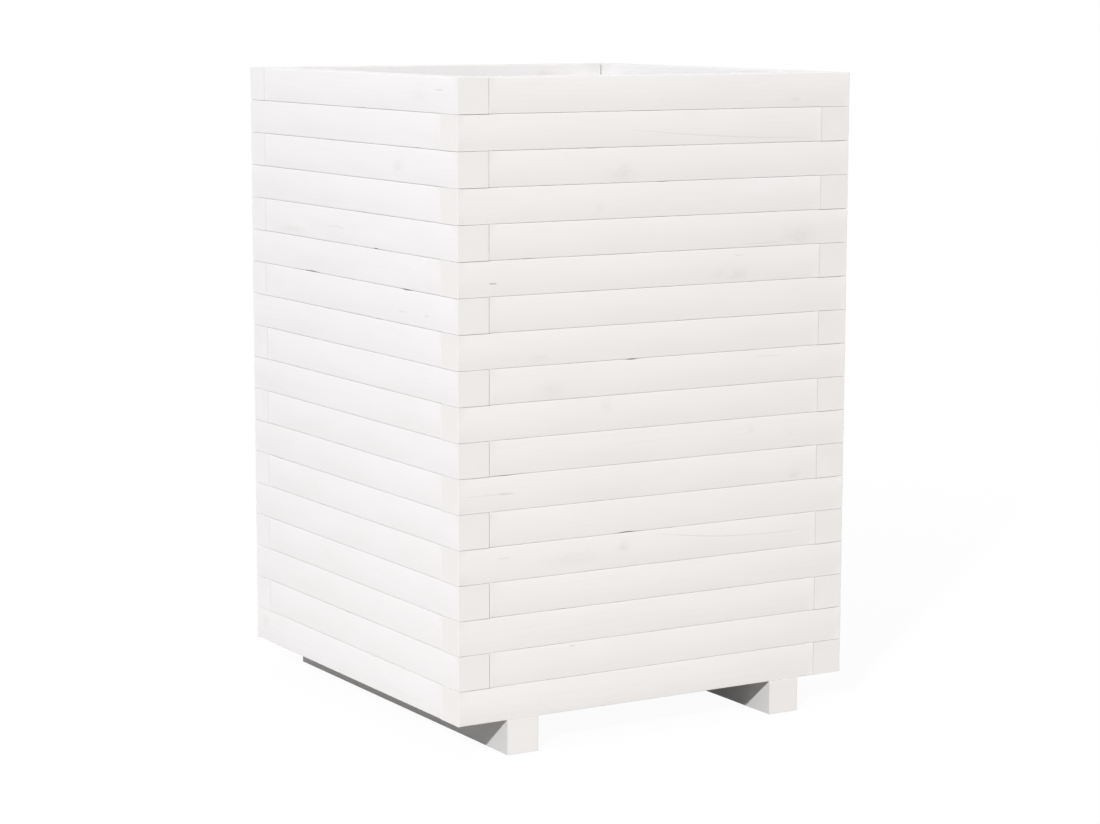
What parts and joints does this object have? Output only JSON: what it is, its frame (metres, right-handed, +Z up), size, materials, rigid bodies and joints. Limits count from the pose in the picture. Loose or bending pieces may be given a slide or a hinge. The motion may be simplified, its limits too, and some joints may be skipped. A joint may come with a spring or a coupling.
{
  "type": "raised planter",
  "caption": "Tall square planter box of stacked white-painted pine slats with interlocked corners, standing on two runners.",
  "frame": {"origin": "centre of the footprint, on the ground under the runners", "axes": "+Z up, -Y out of the front wall, +X to the right when facing the front; the runners lie along Y"},
  "size_m": [0.495, 0.495, 0.715],
  "materials": {
    "painted_slats": "satin white paint on pine",
    "painted_posts": "satin white paint on pine",
    "painted_floor": "satin white paint on pine",
    "painted_runners": "satin white paint on pine",
    "zinc_screws": "bright zinc plate"
  },
  "bodies": {
    "root": {"course_01_front_back": "painted_slats", "course_01_left_right": "painted_slats", "course_02_front_back": "painted_slats", "course_02_left_right": "painted_slats", "course_03_front_back": "painted_slats", "course_03_left_right": "painted_slats", "course_04_front_back": "painted_slats", "course_04_left_right": "painted_slats", "course_05_front_back": "painted_slats", "course_05_left_right": "painted_slats", "course_06_front_back": "painted_slats", "course_06_left_right": "painted_slats", "course_07_front_back": "painted_slats", "course_07_left_right": "painted_slats", "course_08_front_back": "painted_slats", "course_08_left_right": "painted_slats", "course_09_front_back": "painted_slats", "course_09_left_right": "painted_slats", "course_10_front_back": "painted_slats", "course_10_left_right": "painted_slats", "course_11_front_back": "painted_slats", "course_11_left_right": "painted_slats", "course_12_front_back": "painted_slats", "course_12_left_right": "painted_slats", "course_13_front_back": "painted_slats", "course_13_left_right": "painted_slats", "course_14_front_back": "painted_slats", "course_14_left_right": "painted_slats", "course_15_front_back": "painted_slats", "course_15_left_right": "painted_slats", "course_16_front_back": "painted_slats", "course_16_left_right": "painted_slats", "course_17_front_back": "painted_slats", "course_17_left_right": "painted_slats", "course_18_front_back": "painted_slats", "course_18_left_right": "painted_slats", "post_front_left": "painted_posts", "post_front_right": "painted_posts", "post_back_right": "painted_posts", "post_back_left": "painted_posts", "post_screws_front_left": "zinc_screws", "post_screws_front_right": "zinc_screws", "post_screws_back_right": "zinc_screws", "post_screws_back_left": "zinc_screws", "floor_board_1": "painted_floor", "floor_board_2": "painted_floor", "floor_board_3": "painted_floor", "floor_board_4": "painted_floor", "floor_board_5": "painted_floor", "runner_left": "painted_runners", "runner_right": "painted_runners", "floor_screws": "zinc_screws", "runner_screws": "zinc_screws"}
  },
  "joints": []
}
